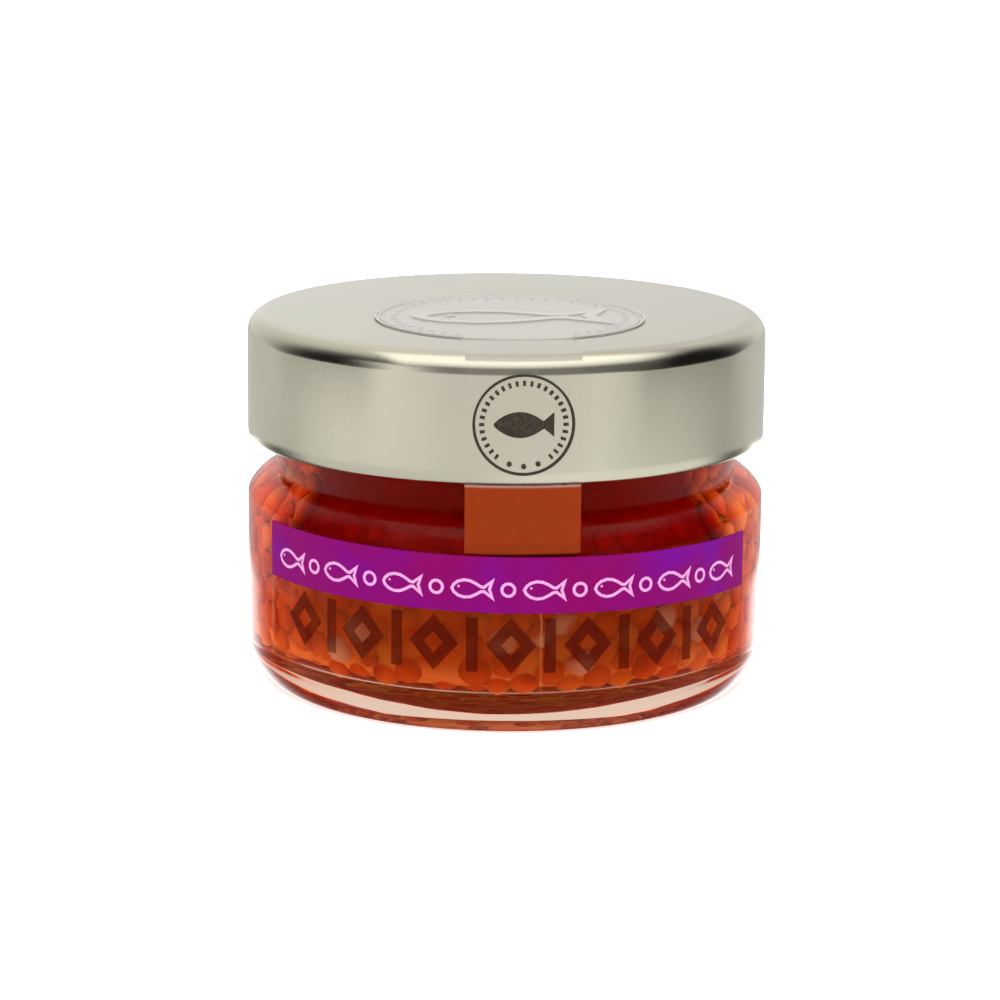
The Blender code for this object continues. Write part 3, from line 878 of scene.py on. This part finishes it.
def emblemShape():
    # a ring, a row of short ticks inside it and a fish in the middle
    x = radians(seal["angle"]) * glass["radius"]
    level = emblem["level"]
    shapes = [ribbon(circlePath((x, level), emblem["ring"], 96), emblem["line"], True)]
    for index in range(emblem["ticks"]):
        turn = 360 * index / emblem["ticks"]
        if 235 < turn < 305:
            continue
        way = (cos(radians(turn)), sin(radians(turn)))
        path = [(x + way[0] * reach, level + way[1] * reach) for reach in (emblem["tickInner"], emblem["tickOuter"])]
        shapes.append(ribbon(path, 0.34))
    for turn in (250, 270, 290):
        middle = (x + 5.05 * cos(radians(turn)), level + 5.05 * sin(radians(turn)))
        shapes.append(ribbon(circlePath(middle, 0.16, 8), 0.3, True))
    length = 7.2
    rows = [[], []]
    for step in range(25):
        share = step / 24
        body = sin(pi * min(share / 0.86, 1)) ** 0.7 * 1.55
        tail = max((share - 0.76) / 0.24, 0) * 1.45
        half = max(body, tail, 0.12)
        rows[0].append((x + length * (share - 0.5), 0, level + half))
        rows[1].append((x + length * (share - 0.5), 0, level - half))
    shapes.append(sheetOf(rows))
    return weld(joinShapes(shapes))


# Black-brown pad-print ink on the seal's tail
emblemInk, tree, shader = startMaterial("black-brown pad-print ink", Roughness=0.55, Specular_IOR_Level=0.3)
tint = addGrain(tree, shader, 0.3, 0.2, 0.02)
tree.links.new(addRamp(tree, tint, [(0.3, "1c150c"), (0.7, "352c1e")]), shader.inputs["Base Color"])
shape = thicken(wrapAround(emblemShape(), lid["radius"] + seal["gap"] + seal["sheet"], 0), label["ink"])
settle(shape, "skirtEmblem", emblemInk, None)


def headPrintShape():
    # a fine double ring, open towards the tail, with ticks and a fish inside it
    shapes = []
    for radius, width in ((headPrint["ring"], headPrint["line"]), (headPrint["ring"] - 0.6, headPrint["line"] * 0.6)):
        path = circlePath((0, 0), radius, 96, -90 + headPrint["gap"], 270 - headPrint["gap"])
        shapes.append(ribbon(path, width))
    for index in range(headPrint["ticks"]):
        turn = 360 * index / headPrint["ticks"]
        if abs(turn - 270) < headPrint["gap"]:
            continue
        way = (cos(radians(turn)), sin(radians(turn)))
        path = [(way[0] * reach, way[1] * reach) for reach in (headPrint["tickInner"], headPrint["tickOuter"])]
        shapes.append(ribbon(path, 0.3))
    path = fishPath((0, 0), headPrint["length"], headPrint["height"])
    shapes.append(ribbon(path, headPrint["stroke"], True))
    shapes.append(ribbon(circlePath((-7.4, 0.9), 0.35, 12), 0.6, True))
    shape = weld(joinShapes(shapes))
    level = lid["top"] + seal["gap"] + seal["sheet"]
    for vertex in shape.data.vertices:
        x, _, z = vertex.co / mm
        vertex.co = Vector((x, z - seal["forward"], level)) * mm
    shape.data.transform(Matrix.Rotation(radians(seal["angle"]), 4, "Z"))
    return shape


# Pale grey ink on the seal's head, hardly darker than the film
headInk, tree, shader = startMaterial("pale grey seal ink", Roughness=0.5, Specular_IOR_Level=0.1)
tint = addGrain(tree, shader, 0.3, 0.2, 0.02)
tree.links.new(addRamp(tree, tint, [(0.3, "8b8783"), (0.7, "96918c")]), shader.inputs["Base Color"])
shape = headPrintShape()
if shape.data.polygons[0].normal.z < 0:
    shape.data.flip_normals()
settle(thicken(shape, label["ink"]), "sealHeadPrint", headInk, None)
print("seal: head, tail and prints are laid")
